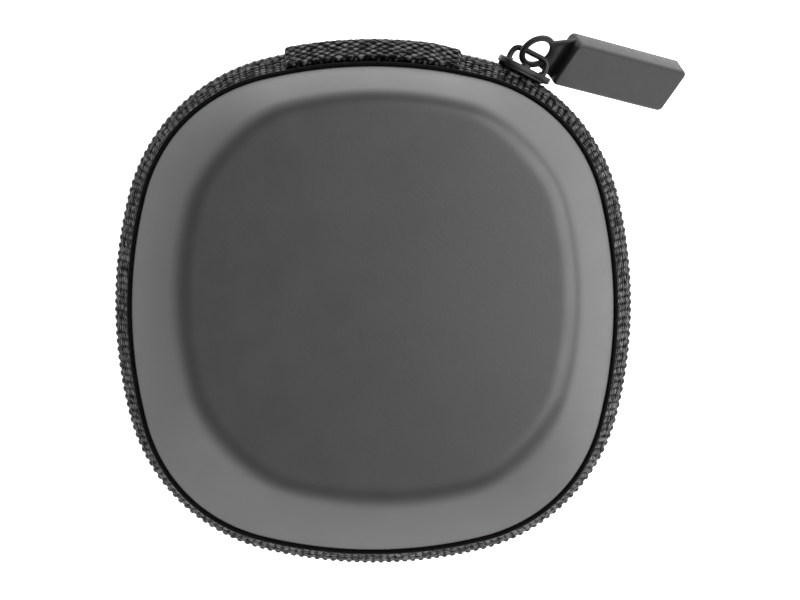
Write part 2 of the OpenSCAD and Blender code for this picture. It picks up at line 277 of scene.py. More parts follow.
class Look:
    """A Principled material built from procedural nodes."""

    def __init__(self, name, colour, roughness=0.5, **sockets):
        self.m = bpy.data.materials.new(name)
        self.m.use_nodes = True
        self.t = self.m.node_tree
        self.bsdf = next(n for n in self.t.nodes if n.type == "BSDF_PRINCIPLED")
        self.bsdf.inputs["Base Color"].default_value = (*colour, 1)
        self.bsdf.inputs["Roughness"].default_value = roughness
        for key, value in sockets.items():
            self.bsdf.inputs[key.replace("_", " ")].default_value = value
        self.coords = self.t.nodes.new("ShaderNodeTexCoord")

    def link(self, a, b):
        self.t.links.new(a, b)
        return b

    def node(self, kind, **values):
        n = self.t.nodes.new(kind)
        for key, value in values.items():
            if hasattr(n, key):
                setattr(n, key, value)
            else:
                n.inputs[key.replace("_", " ")].default_value = value
        return n

    def where(self, kind="Object"):
        return self.coords.outputs[kind]

    def noise(self, scale, detail=3.0, rough=0.55, where=None, stretch=None):
        n = self.node("ShaderNodeTexNoise", Scale=scale, Detail=detail, Roughness=rough)
        source = where or self.where()
        if stretch:
            m = self.node("ShaderNodeMapping")
            m.inputs["Scale"].default_value = stretch
            self.link(source, m.inputs["Vector"])
            source = m.outputs["Vector"]
        self.link(source, n.inputs["Vector"])
        return n.outputs["Fac"]

    def math(self, op, a, b=0.0, c=0.0):
        n = self.node("ShaderNodeMath", operation=op)
        for k, v in enumerate((a, b, c)):
            if isinstance(v, (int, float)):
                n.inputs[k].default_value = v
            else:
                self.link(v, n.inputs[k])
        return n.outputs[0]

    def ramp(self, fac, low, high, at=(0.3, 0.7)):
        n = self.node("ShaderNodeValToRGB")
        n.color_ramp.elements[0].position, n.color_ramp.elements[1].position = at
        n.color_ramp.elements[0].color, n.color_ramp.elements[1].color = (*low, 1), (*high, 1)
        self.link(fac, n.inputs["Fac"])
        return n.outputs["Color"]

    def between(self, fac, low, high):
        n = self.node("ShaderNodeMapRange")
        n.inputs["From Min"].default_value, n.inputs["From Max"].default_value = 0.25, 0.75
        n.inputs["To Min"].default_value, n.inputs["To Max"].default_value = low, high
        self.link(fac, n.inputs["Value"])
        return n.outputs["Result"]

    def colour(self, value):
        self.link(value, self.bsdf.inputs["Base Color"])

    def rough(self, value):
        self.link(value, self.bsdf.inputs["Roughness"])

    def bump(self, height, distance_mm, strength=1.0):
        n = self.node("ShaderNodeBump", Strength=strength, Distance=distance_mm * MM)
        self.link(height, n.inputs["Height"])
        if self.bsdf.inputs["Normal"].is_linked:
            self.link(self.bsdf.inputs["Normal"].links[0].from_socket, n.inputs["Normal"])
        self.link(n.outputs["Normal"], self.bsdf.inputs["Normal"])

    def uv_axes(self):
        split = self.node("ShaderNodeSeparateXYZ")
        self.link(self.where("UV"), split.inputs["Vector"])
        return split.outputs["X"], split.outputs["Y"]

    def weave(self, a, b):
        """0..1 height of a plain weave; a and b count the yarns both ways."""
        over = self.math("MODULO", self.math("ADD", self.math("FLOOR", a), self.math("FLOOR", b)), 2.0)
        fa, fb = (self.math("SUBTRACT", self.math("FRACT", t), 0.5) for t in (a, b))
        under = self.math("SUBTRACT", 1.0, over)
        across = self.math("ADD", self.math("MULTIPLY", fa, under), self.math("MULTIPLY", fb, over))
        length = self.math("ADD", self.math("MULTIPLY", fb, under), self.math("MULTIPLY", fa, over))
        round_off = self.math("MULTIPLY_ADD", self.math("MULTIPLY", across, across), -3.7, 1.0)
        dive = self.math("MULTIPLY_ADD", self.math("MULTIPLY", length, length), -2.8, 1.0)
        return self.math("MULTIPLY", self.math("SQRT", self.math("MAXIMUM", round_off, 0.0)), dive)

    def wave(self, axis, period_mm):
        """0..1 sine of one UV axis."""
        turns = self.math("MULTIPLY", axis, 2 * math.pi * 100 / period_mm)
        return self.math("MULTIPLY_ADD", self.math("SINE", turns), 0.5, 0.5)


def leatherette():
    k = Look("satin_leatherette", (0.023, 0.023, 0.024), 0.38, Specular_IOR_Level=0.5)
    k.colour(k.ramp(k.noise(38, 4), (0.0215, 0.0215, 0.0222), (0.0255, 0.0255, 0.0262)))
    k.rough(k.between(k.noise(220, 3), 0.35, 0.42))
    k.bump(k.noise(2600, 2.5), 0.018, 0.55)
    k.bump(k.noise(420, 2), 0.02, 0.35)
    return k.m


def webbing(name="woven_nylon", diagonal=0.0):
    """Plain weave with painted shade where the yarns dive under each other and painted highlights on their
    crowns.
    """
    k = Look(name, (0.012, 0.012, 0.0125), 0.5, Specular_IOR_Level=0.1)
    u, v = k.uv_axes()
    if diagonal:
        a = k.math("MULTIPLY", k.math("ADD", u, v), 100 / diagonal)
        b = k.math("MULTIPLY_ADD", k.math("SUBTRACT", u, v), 100 / diagonal, 100.0)
    else:
        a, b = k.math("MULTIPLY", u, 100 / YARN), k.math("MULTIPLY", v, 100 / YARN)
    height = k.weave(a, b)
    # painted shade and highlight: colour follows the weave's height, near black where yarns dive under, light
    # on crowns, times a random patchy tone
    crown_light_and_tone = k.math("MULTIPLY", height, k.between(k.noise(900, 3, 0.65), 0.05, 1.5))
    k.colour(k.ramp(crown_light_and_tone, (0.0006, 0.0006, 0.0006), (0.07, 0.07, 0.0725), (0.5, 1.0)))
    k.rough(k.between(k.noise(1400, 2), 0.4, 0.66))
    shine = k.math("MULTIPLY_ADD", k.math("MULTIPLY", crown_light_and_tone, crown_light_and_tone), 0.18, 0.0)
    k.link(shine, k.bsdf.inputs["Specular IOR Level"])
    k.bump(k.math("MULTIPLY", k.wave(u, 0.16), k.wave(v, 0.16)), 0.03, 0.8)
    k.bump(k.noise(3800, 3), 0.03, 0.6)
    k.bump(height, 0.1, 0.7)
    return k.m


def knit(name, colour, period, depth, sheen=0.3):
    k = Look(name, colour, 0.8, Sheen_Weight=sheen, Sheen_Roughness=0.5, Specular_IOR_Level=0.35)
    u, v = k.uv_axes()
    shift = k.math("ADD", u, k.math("MULTIPLY", k.wave(v, period), 0.25 * period / 100))
    loops = k.math("MULTIPLY", k.wave(shift, period), k.wave(v, period * 0.7))
    low, high = tuple(c * 0.6 for c in colour), tuple(c * 1.7 for c in colour)
    k.colour(k.ramp(k.noise(500, 4), low, high))
    k.bump(loops, depth, 0.9)
    k.bump(k.noise(5000, 2), 0.02, 0.5)
    return k.m


def ribbed(name, colour, period, depth, specular=0.3):
    k = Look(name, colour, 0.7, Sheen_Weight=0.05 if specular > 0.1 else 0.0, Specular_IOR_Level=specular)
    u, v = k.uv_axes()
    k.colour(k.ramp(k.noise(700, 3), tuple(c * 0.6 for c in colour), tuple(c * 1.6 for c in colour)))
    k.bump(k.wave(u, period), depth, 0.9)
    k.bump(k.noise(4200, 2), 0.02, 0.5)
    return k.m


def nylon_teeth():
    k = Look("nylon_coil", (0.006, 0.006, 0.006), 0.42, Specular_IOR_Level=0.16)
    k.colour(k.ramp(k.noise(900, 3), (0.004, 0.004, 0.004), (0.014, 0.014, 0.0145)))
    k.rough(k.between(k.noise(1500, 2), 0.34, 0.52))
    k.bump(k.noise(2500, 2), 0.02, 0.4)
    return k.m


def thread():
    k = Look("sewing_thread", (0.016, 0.016, 0.017), 0.55, Sheen_Weight=0.1, Specular_IOR_Level=0.4)
    u, v = k.uv_axes()
    k.colour(k.ramp(k.noise(1500, 3), (0.01, 0.01, 0.01), (0.03, 0.03, 0.031)))
    k.bump(k.wave(k.math("ADD", u, v), 0.22), 0.03, 0.8)
    return k.m


def black_paint():
    k = Look("satin_black_paint", (0.004, 0.004, 0.004), 0.36, Specular_IOR_Level=0.22)
    k.colour(k.ramp(k.noise(260, 4), (0.0025, 0.0025, 0.0025), (0.006, 0.006, 0.006)))
    k.rough(k.between(k.noise(700, 3), 0.3, 0.44))
    k.bump(k.noise(1800, 3), 0.012, 0.4)
    return k.m


def tab_rubber():
    k = Look("moulded_rubber", (0.008, 0.008, 0.0085), 0.45, Specular_IOR_Level=0.36)
    k.colour(k.ramp(k.noise(160, 4), (0.007, 0.007, 0.0073), (0.0095, 0.0095, 0.01)))
    k.rough(k.between(k.noise(900, 3), 0.4, 0.5))
    k.bump(k.noise(3200, 2), 0.016, 0.5)
    k.bump(k.noise(350, 2), 0.02, 0.3)
    return k.m


def foam():
    k = Look("moulded_foam", (0.02, 0.02, 0.022), 0.9)
    k.colour(k.ramp(k.noise(600, 3), (0.014, 0.014, 0.015), (0.028, 0.028, 0.03)))
    k.bump(k.noise(2600, 3), 0.05, 0.6)
    return k.m


def floor_look():
    k = Look("pale_floor", (0.9, 0.9, 0.9), 0.8, Specular_IOR_Level=0.2)
    k.bsdf.inputs["Emission Color"].default_value = (1, 1, 1, 1)
    split = k.node("ShaderNodeSeparateXYZ")
    k.link(k.where(), split.inputs["Vector"])
    x, y = split.outputs["X"], split.outputs["Y"]
    # painted light: the glow grows towards the right, the key light's side
    glow = k.math("MULTIPLY_ADD", x, FLOOR_RISE, FLOOR_GLOW)
    away = k.math("SQRT", k.math("ADD", k.math("MULTIPLY", x, x), k.math("MULTIPLY", y, y)))
    clear = k.math("MULTIPLY_ADD", away, 1 / 0.019, -0.022 / 0.019)    # painted contact shadow: the glow fades out right under the case
    clear = k.math("MINIMUM", k.math("MAXIMUM", clear, 0.0), 1.0)
    glow = k.math("MULTIPLY", k.math("MINIMUM", k.math("MAXIMUM", glow, 0.1), 3.0), clear)
    k.link(glow, k.bsdf.inputs["Emission Strength"])
    k.colour(k.ramp(k.noise(6, 2), (0.9, 0.9, 0.9), (0.915, 0.915, 0.915)))
    return k.m


SKIN, WEB, PAINT, RUBBER, TEETH, THREAD = (
    leatherette(), webbing(), black_paint(), tab_rubber(), nylon_teeth(), thread())
HINGE_WEB = webbing("diamond_nylon", 1.8)
FOAM = foam()
LINING = knit("jersey_lining", (0.016, 0.016, 0.017), 0.5, 0.06)
NET = knit("net_yarn", (0.014, 0.014, 0.014), 0.3, 0.03, 0.4)
ELASTIC = ribbed("elastic_hem", (0.015, 0.015, 0.015), 0.5, 0.08)
BINDING = ribbed("binding_tape", (0.014, 0.014, 0.0145), 0.45, 0.06)
TAPE = ribbed("zip_tape", (0.012, 0.012, 0.012), 0.35, 0.04)
# the piping cord is real, but its near-black colour, darker than the other black cloth, is the groove's painted
# shade
SHADED_PIPING = ribbed("piping_cord_shaded", (0.0015, 0.0015, 0.0015), 0.4, 0.04, 0.04)


def finish_piece(obj, look, body, slot, *nodes):
    obj.data.materials.append(look)
    if body:
        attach(obj, body)
    if nodes:
        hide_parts(*nodes)
    return obj


# ---- Cross-section of one half, in mm: x outwards from the zip teeth, y up from mid-plane ----
LEAN = 0.32
SHOULDER = 36.0                 # elevation of the shoulder's normal
FILLET = 5.4
BAND_OUT, BAND_LOW, BAND_TOP = -0.7, 2.45, 9.0
RIM_LOW, RIM_OUT = 4.2, -3.05
HINGE_HALF = math.degrees(math.asin(box_mm("hinge_strip")[1][0] / 71.0))
HINGE_W = 27.2
TUCK = 2.4


def skin_line(crown):
    """Outer surface from the lip's underside over the shoulder to the plateau's edge."""
    bow, bend = 2.5, 4.8
    lip = arc(*LIP, LIP_R, -95, SHOULDER - bow, 14)
    slope_end = 90 - (1.7 if crown else 0)

    def run(s1):
        s = np.linspace(0, s1 + bend, 220)
        t = np.clip((s - s1) / bend, 0, 1)
        phi = SHOULDER - bow + 2 * bow * np.clip(s / s1, 0, 1)
        phi = phi + (slope_end - phi) * t * t * (3 - 2 * t)
        phi = np.radians(phi)
        ds = s[1] - s[0]
        x = lip[-1, 0] - np.cumsum(np.sin(phi)) * ds
        y = lip[-1, 1] + np.cumsum(np.cos(phi)) * ds
        return np.stack([x, y], axis=1)

    top = HALF_H + (-0.12 if crown else 0)
    low, high = 1.0, 14.0
    for _ in range(30):
        mid = (low + high) / 2
        if run(mid)[-1, 1] < top:
            low = mid
        else:
            high = mid
    line = run((low + high) / 2)
    line[:, 1] += top - line[-1, 1]
    shoulder, _ = resample(line, 0.42)
    return np.vstack([lip[:-1], shoulder]), (0.45 if crown else 0)


def skin(name, side, body, node):
    line, crown = skin_line(side > 0)
    s = np.linspace(0, AROUND, 288, endpoint=False)
    points = place(s[:, None], line[None, :, 0], line[None, :, 1])
    edge = points[:, -1]
    rings = []
    hub = np.array([*shift(edge[0, 2] - MID), edge[0, 2]])
    for t in np.linspace(1, 0, 16)[1:-1]:
        rings.append(hub + (edge - hub) * t + [0, 0, crown * (1 - t * t)])
    points = np.concatenate([points, np.stack(rings, axis=1)], axis=1)
    hub = hub + [0, 0, crown]
    dist = np.arange(points.shape[1]) * 0.4
    verts, faces, uvs = grid(points, s, dist, True, False, hub)
    verts = flip(verts, faces, side)
    obj = new_object(name, verts, faces, uvs)
    return finish_piece(obj, SKIN, body, "leatherette", node)


def flip(verts, faces, side):
    """Mirrors a piece of the upper half to the lower one."""
    if side < 0:
        verts = verts * [1, 1, -1] + [0, 0, 2 * MID]
        for f in faces:
            f.reverse()
    return verts


def band(name, side, body, node):
    top = BAND_OUT - (BAND_TOP - BAND_LOW) * LEAN
    front, v = resample([(BAND_OUT, BAND_LOW), (top, BAND_TOP)], 0.172)
    a0, a1 = 90 + HINGE_HALF - 2 * TUCK, 450 - HINGE_HALF + 2 * TUCK
    s0, s1 = s_of(a0), s_of(a1)
    yarns = int(round((s1 - s0) / YARN))
    s = np.linspace(s0, s1, yarns * 6 + 1)
    rng = np.random.default_rng(7)
    wander = np.interp(s, np.linspace(s0, s1, 60), rng.normal(0, 0.06, 60))
    a = (s[:, None] - s0) / (s1 - s0) * yarns + wander[:, None] + 0.03 * np.sin(v)[None]
    b = v[None] / (v[-1] / 6) + 0.05 * np.sin(s / 3.1)[:, None]
    edge = np.minimum(np.minimum(v / 0.5, (v[-1] - v) / 0.9), 1)[None]
    height = 0.3 * (plain_weave(a, b) - 0.7) * edge - 0.3 * (1 - edge)
    height = height + 0.22 * np.cos(np.clip(v / 3.2, 0, 1) * np.pi / 2)[None]
    normal = np.array([1, LEAN]) / math.hypot(1, LEAN)
    x = front[None, :, 0] + height * normal[0]
    y = front[None, :, 1] + height * normal[1]
    face = place(s[:, None], x, y)
    back = place(s[:, None], np.array([[top - 0.85, BAND_OUT - 0.85]]), np.array([[BAND_TOP, BAND_LOW]]))
    points = np.concatenate([face, back], axis=1)
    counts = (s - s0) / (s1 - s0) * yarns + wander
    vv = np.concatenate([v, [v[-1] + 0.85, v[-1] + 7.7]]) * 6 * YARN / v[-1]
    verts, faces, uvs = grid(points, counts * YARN, vv, False, True)
    verts = flip(verts, faces, side)
    obj = new_object(name, verts, faces, uvs)
    return finish_piece(obj, WEB, body, "webbing", node)


def ring_piece(name, line, side, body, slot, look, node, n=240, ends=None, square=True):
    """Sweeps a closed profile line round the outline, or between two angles."""
    line = np.asarray(line, float)
    if ends:
        s = np.linspace(s_of(ends[0]), s_of(ends[1]), n)
    else:
        s = np.linspace(0, AROUND, n, endpoint=False)
    points = place(s[:, None], line[None, :, 0], line[None, :, 1], square)
    length = np.concatenate([[0], np.cumsum(np.linalg.norm(np.diff(line, axis=0), axis=1))])
    verts, faces, uvs = grid(points, s, length, not ends, True)
    verts = flip(verts, faces, side)
    obj = new_object(name, verts, faces, uvs)
    return finish_piece(obj, look, body, slot, *([node] if node else []))


def welt(name, side, body, node):
    centre = (LIP[0] + LIP_R + 0.36, 9.5)
    return ring_piece(name, arc(*centre, 0.4, 360, 36, 10), side, body, "piping", SHADED_PIPING, node, 300)


def binding(name, side, body, node):
    inner = RIM_OUT - 3.85
    line = [(RIM_OUT - 0.05, 4.1), (RIM_OUT - 0.15, 3.8), (RIM_OUT - 0.5, 3.68), (inner + 0.1, 3.68),
            (inner - 0.35, 3.8), (inner - 0.45, 4.2), (inner - 1.42, 7.2), (inner - 1.38, 7.45),
            (inner - 1.1, 7.4), (inner - 0.02, 4.15), (RIM_OUT - 0.3, 4.12)]
    return ring_piece(name, line[::-1], side, body, "binding", BINDING, node, 240)


def tape(name, side, body, node):
    line = [(-1.8, 0.5), (-2.3, 0.5), (-2.3, 2.2), (-4.15, 8), (-3.65, 8), (-1.8, 2.2)]
    ends = (90 + HINGE_HALF - TUCK, 450 - HINGE_HALF + TUCK)
    return ring_piece(name, line, side, body, "zip_tape", TAPE, node, 220, ends)


def coil(name, side, body, node):
    """One row of the zip's nylon teeth: each is a loop that reaches past mid-plane."""
    ends = (s_of(90 + HINGE_HALF - TUCK), s_of(450 - HINGE_HALF + TUCK))
    pitch = 1.25
    count = int((ends[1] - ends[0]) / pitch)
    start = ends[0] + (0.35 if side > 0 else 0.35 + pitch / 2)
    loop = smooth_path([(-1.65, 1.95), (-1.1, 2.18), (-0.5, 2.12), (-0.22, 1.5), (-0.2, 0.5),
                        (-0.42, -0.32), (-1.0, -0.5), (-1.5, -0.1)], 11)
    n = 7
    angle = np.linspace(0, 2 * np.pi, n, endpoint=False)
    tangent = np.gradient(loop, axis=0)
    tangent /= np.linalg.norm(tangent, axis=1, keepdims=True)
    out = np.stack([-tangent[:, 1], tangent[:, 0]], axis=1)
    width = np.interp(loop[:, 1], [-0.5, 0.1, 2.2], [0.34, 0.38, 0.46])
    parts = []
    for k in range(count):
        s = start + k * pitch
        x = loop[:, None, 0] + out[:, None, 0] * (0.22 * np.cos(angle))[None]
        y = loop[:, None, 1] + out[:, None, 1] * (0.22 * np.cos(angle))[None]
        ds = width[:, None] * np.sin(angle)[None]
        points = place(s + ds, x, y, False)
        verts, faces, _ = grid(points, None, None, False, True)
        faces += [list(range(n))[::-1], [10 * n + j for j in range(n)]]
        parts.append((verts, faces, None))
    bead_s = np.linspace(ends[0], ends[1], 260)
    bead = arc(-1.05, 1.3, 0.82, 360, 45, 8)
    verts, faces, _ = grid(place(bead_s[:, None], bead[None, :, 0], bead[None, :, 1], False),
                           None, None, False, True)
    parts.append((verts, faces, None))
    verts, faces, _ = join(parts)
    verts = flip(verts, faces, side)
    obj = new_object(name, verts, faces)
    return finish_piece(obj, TEETH, body, "zip_teeth", node)


def stitches(name, x, y, out, side, body, length=2.1, gap=0.7, ends=None, radius=0.16):
    """A row of stitches round the outline, each a short thread that dips at both ends."""
    s0, s1 = (s_of(ends[0]), s_of(ends[1])) if ends else (0, AROUND)
    count = int((s1 - s0) / (length + gap))
    step = (s1 - s0) / count
    parts = []
    for k in range(count):
        t = np.linspace(0, 1, 7)
        lift = 0.2 * np.sin(np.pi * t) ** 0.6 - 0.12
        s = s0 + (k + 0.5) * step + (t - 0.5) * length
        path = place(s, x + out[0] * lift, y + out[1] * lift)
        parts.append(tube(path, radius, radius, 6, taper=True))
    verts, faces, uvs = join(parts)
    verts = flip(verts, faces, side)
    obj = new_object(name, verts, faces, uvs)
    return finish_piece(obj, THREAD, body, "binding")


def lining_line(depth=4.45):
    """Inner face of a half, from the rim up to the panel."""
    inner = RIM_OUT - depth + 0.7
    fillet_r = FILLET - depth
    cos_a, sin_a = math.cos(math.radians(SHOULDER)), math.sin(math.radians(SHOULDER))
    along = LIP[0] * cos_a + LIP[1] * sin_a + LIP_R
    fx = (along - FILLET - (HALF_H - FILLET) * sin_a) / cos_a
    x0 = inner + RIM_LOW * LEAN
    h = (along - depth - x0 * cos_a) / (sin_a - LEAN * cos_a)
    corner = np.array([x0 - h * LEAN, h])
    rim = np.array([inner, RIM_LOW])
    fillet = arc(fx, HALF_H - FILLET, fillet_r, SHOULDER, 90, 8)
    up, down = rim - corner, fillet[0] - corner
    up, down = up / np.linalg.norm(up), down / np.linalg.norm(down)
    bend = [corner + up * 1.2, corner + up * 0.45 + down * 0.1, corner + up * 0.1 + down * 0.45,
            corner + down * 1.2]
    return resample(np.vstack([rim, bend, fillet]), 0.7)[0]


def lining(name, side, body, node):
    line = lining_line()
    s = np.linspace(0, AROUND, 200, endpoint=False)
    points = place(s[:, None], line[None, :, 0], line[None, :, 1])
    edge = points[:, -1]
    hub = np.array([*shift(edge[0, 2] - MID), edge[0, 2]])
    rings = [hub + (edge - hub) * t for t in np.linspace(1, 0, 12)[1:-1]]
    points = np.concatenate([points, np.stack(rings, axis=1)], axis=1)
    verts, faces, uvs = grid(points, s, np.arange(points.shape[1]) * 0.7, True, False, hub)
    faces = [f[::-1] for f in faces]
    uvs = planar_uv(verts, faces)
    verts = flip(verts, faces, side)
    obj = new_object(name, verts, faces, uvs)
    return finish_piece(obj, LINING, body, "lining", node)


def planar_uv(verts, faces):
    flat = verts[:, :2] / 100
    return np.array([flat[k] for f in faces for k in f])


def hinge_fabric(name, line, thick, look, node, weave, amplitude, step):
    """A strip of cloth across the back, curved in section between the two halves."""
    line, v = resample(smooth_path(line, 60), step)
    s = np.linspace(s_of(90 - HINGE_HALF), s_of(90 + HINGE_HALF), int(HINGE_W / step))
    u = s - s[0]
    across = np.minimum(u, u[-1] - u)
    # rounded ends, and a thin one where the strip merges at the right
    ends = np.sqrt(np.clip(1 - (1 - np.clip(across / 0.55, 0, 1)) ** 2, 0, 1))
    thin = np.interp(u, [0, 4.5], [0.45, 1.0])
    feet = np.minimum(v, v[-1] - v)
    rims = np.sqrt(np.clip(1 - (1 - np.clip(feet / 0.55, 0, 1)) ** 2, 0, 1))
    height = thick * (ends * thin)[:, None] * rims[None]
    if weave:
        p = weave / math.sqrt(2)
        a = (u[:, None] + v[None]) / math.sqrt(2) / p
        b = (u[:, None] - v[None]) / math.sqrt(2) / p + 100
        height = height + amplitude * (plain_weave(a, b) - 0.65) * ends[:, None] * rims[None]
    t = np.gradient(line, axis=0)
    t /= np.linalg.norm(t, axis=1, keepdims=True)
    out = np.stack([t[:, 1], -t[:, 0]], axis=1)
    x = line[None, :, 0] + out[None, :, 0] * height
    y = line[None, :, 1] + out[None, :, 1] * height
    face = place(s[:, None], x, y, False)
    back = place(s[:, None], line[None, ::-1, 0], line[None, ::-1, 1], False)
    points = np.concatenate([face, back[:, 1:-1]], axis=1)
    vv = np.concatenate([v, v[-1] + v[1:-1]])
    verts, faces, uvs = grid(points, u, vv, False, True)
    n = points.shape[1]
    m = len(s)
    faces += [list(range(n))[::-1], [(m - 1) * n + k for k in range(n)]]
    uvs = np.vstack([uvs, np.zeros((2 * n, 2))])
    obj = new_object(name, verts, faces, uvs)
    obj.data.materials.append(look)
    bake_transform(obj)
    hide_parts(node)
    return obj


def pocket_net():
    """A stretched net of knotted yarn over the front half of the lid, cut to the lid's outline."""
    lo, hi = box_mm("lid_pocket")
    z = (lo[2] + hi[2]) / 2
    s = np.linspace(0, AROUND, 720, endpoint=False)
    cx, cy, r, a = around(s)
    rim = np.stack([cx + (r - 7.8) * np.cos(a), cy + (r - 7.8) * np.sin(a)], axis=1)
    rim = rim[rim[:, 1] < hi[1] + 0.4]
    reach = rim[np.argsort(np.arctan2(rim[:, 0], -rim[:, 1]))]

    def inside(p):
        angle = math.atan2(p[0], -p[1])
        edge = np.interp(angle, np.arctan2(reach[:, 0], -reach[:, 1]), np.linalg.norm(reach, axis=1))
        return math.hypot(*p) < edge and p[1] < hi[1] + 0.3

    pitch, parts = 1.45, []
    for sign in (1, -1):
        direction = np.array([math.cos(math.radians(52)), sign * math.sin(math.radians(52))])
        normal = np.array([-direction[1], direction[0]])
        for k in range(-40, 41):
            base = normal * k * pitch
            run = [base + direction * t for t in np.arange(-60, 60, 0.43)]
            keep = [p for p in run if inside(p)]
            if len(keep) < 4:
                continue
            keep = np.array(keep)
            t = keep @ direction
            sag = -0.55 * np.clip(1 - (np.hypot(keep[:, 0], keep[:, 1] + 10) / 30) ** 2, 0, 1)
            ripple = 0.07 * sign * np.cos(np.pi * t / (pitch / math.sin(math.radians(76))))
            path = np.column_stack([keep, z + sag + ripple])
            parts.append(tube(path, 0.2, 0.17, 5))
    verts, faces, uvs = join(parts)
    return finish_piece(new_object("pocket_net", verts, faces, uvs), NET, "lid", "net", "lid_pocket")


def pocket_hem():
    lo, hi = box_mm("pocket_elastic")
    y, z = (lo[1] + hi[1]) / 2, (lo[2] + hi[2]) / 2
    x = np.linspace(lo[0], hi[0], 190)
    ruche = 0.1 * np.sin(x * 2 * np.pi / 1.9)
    path = np.column_stack([x, y + 0.1 * np.cos(x / 7), np.full(len(x), z)])
    path, side, over = frames_along(path)
    angle = np.linspace(0, 2 * np.pi, 14, endpoint=False)
    ra = (0.95 + ruche)[:, None] * np.cos(angle)[None]
    rb = (0.6 + 0.6 * ruche)[:, None] * np.sin(angle)[None]
    points = path[:, None] + side[:, None] * ra[..., None] + over[:, None] * rb[..., None]
    verts, faces, uvs = grid(points, x - x[0], angle * 0.7, False, True)
    faces += [list(range(14)), [189 * 14 + k for k in range(13, -1, -1)]]
    uvs = np.vstack([uvs, np.zeros((28, 2))])
    return finish_piece(new_object("pocket_hem", verts, faces, uvs), ELASTIC, "lid", "net", "pocket_elastic")


# ---- Slider and puller ----
CORNER = np.array(joint("slider_run")["pos_m"]) / MM
BAR = np.array(joint("puller_swing")["pos_m"]) / MM
OUT = (BAR - CORNER) * [1, 1, 0]
REACH = float(np.linalg.norm(OUT)) - 3.25       # from the corner's centre to the zip teeth
OUT = OUT / np.linalg.norm(OUT)
ALONG = np.array([OUT[1], -OUT[0], 0])          # along the zip, away from the hinge
ZIP_POINT = CORNER * [1, 1, 0] + OUT * REACH + [0, 0, MID]


def at_slider(p):
    """From (outwards, along the zip, up) in mm to the row frame."""
    p = np.asarray(p, float)
    return ZIP_POINT + p[..., :1] * OUT + p[..., 1:2] * ALONG + p[..., 2:3] * np.array([0, 0, 1.0])


def slab(outline, low, high, bevel, n=3, bend=0.0):
    """A plate with rounded edges: outline [k, 2] in (along, up), thickness along outwards."""
    outline = np.asarray(outline, float)
    centre = outline.mean(0)
    t = np.roll(outline, -1, 0) - np.roll(outline, 1, 0)
    t /= np.linalg.norm(t, axis=1, keepdims=True)
    normal = np.stack([t[:, 1], -t[:, 0]], axis=1)
    if ((outline - centre) * normal).sum() < 0:
        normal = -normal
    turn = [math.pi / 2 * k / n for k in range(n + 1)]
    layers = [(low + bevel * (1 - math.sin(a)), bevel * (1 - math.cos(a))) for a in turn[::-1]]
    layers += [(high - bevel * (1 - math.sin(a)), bevel * (1 - math.cos(a))) for a in turn]
    rows = []
    for x, inset in layers:
        flat = outline - normal * inset
        curve = bend * ((flat[:, 1] / 3) ** 2)
        rows.append(np.column_stack([x - curve, flat[:, 0], flat[:, 1]]))
    points = np.stack(rows, axis=1)
    verts, faces, _ = grid(points, None, None, True, False)
    m, rows_n = points.shape[:2]
    faces += [[k * rows_n for k in range(m)][::-1], [k * rows_n + rows_n - 1 for k in range(m)]]
    return verts, faces, None


def slider():
    # plates are wide at the nose, which leads towards the hinge, and narrow at the tail
    nose, tail, half = -4.35, 4.35, 3.0
    corners = [(nose + 0.5, -2.3), (nose, -1.0), (nose, 1.0), (nose + 0.5, 2.3), (nose + 1.6, half),
               (-0.6, half), (1.4, 2.55), (tail - 0.8, 2.45), (tail - 0.1, 1.9), (tail, 0),
               (tail - 0.1, -1.9), (tail - 0.8, -2.45), (1.4, -2.55), (-0.6, -half), (nose + 1.6, -half)]
    outline = smooth_path(corners, 72, closed=True)
    parts = [slab(outline, 0.2, 1.2, 0.22, bend=0.12), slab(outline * 0.985, -4.05, -3.25, 0.2)]
    for sign in (1, -1):   # lips that guide the teeth, and the rails on the outer plate
        rail = [(nose + 1.3, sign * 2.72), (-0.6, sign * 2.78), (1.3, sign * 2.36), (tail - 0.9, sign * 2.26)]
        path = smooth_path([(0.05, p[0], p[1]) for p in rail], 18)
        parts.append(tube(path, 0.22, 0.34, 8, up=(1, 0, 0), taper=True))
    post = smooth_path([(nose + 0.3, 0), (nose + 1.4, -0.17), (nose + 2.9, 0), (nose + 1.4, 0.17)], 16, True)
    parts.append(slab(post, -3.5, 0.5, 0.03))
    # boss under the arch, and the arch's two feet
    boss = smooth_path([(-0.62, -0.8), (0.62, -0.8), (0.62, 0.8), (-0.62, 0.8)], 24, True)
    parts.append(slab(boss, 1.0, 1.52, 0.14))
    for sign in (1, -1):
        foot = smooth_path([(sign * 2.83 - 0.48, -0.62), (sign * 2.83 + 0.48, -0.62),
                            (sign * 2.83 + 0.48, 0.62), (sign * 2.83 - 0.48, 0.62)], 20, True)
        parts.append(slab(foot, 1.0, 1.5, 0.16))
    verts, faces, _ = join(parts)
    obj = new_object("slider_body_cast", at_slider(verts), faces)
    finish_piece(obj, PAINT, "slider", "slider_metal", "slider_body")
    bar, half_w = 3.42, 2.95
    arch = smooth_path([(1.1, -half_w, 0), (2.2, -half_w, 0), (3.05, -half_w + 0.3, 0), (bar, -half_w + 1.1, 0),
                        (bar + 0.03, 0, 0), (bar, half_w - 1.1, 0), (3.05, half_w - 0.3, 0),
                        (2.2, half_w, 0), (1.1, half_w, 0)], 44)
    verts, faces, _ = tube(arch, 0.45, 0.36, 12)
    obj = new_object("slider_arch", at_slider(verts), faces)
    finish_piece(obj, PAINT, "slider", "slider_metal", "slider_bail")


TAB_L, TAB_W, TAB_T = 23.0, 8.2, 3.4
EYE_AT = (0.6, 0.8)
EYE_HOLE, EYE_WIRE, EYE_T = 2.1, 0.78, 0.6
TAB_START = EYE_HOLE + EYE_WIRE + 2.05


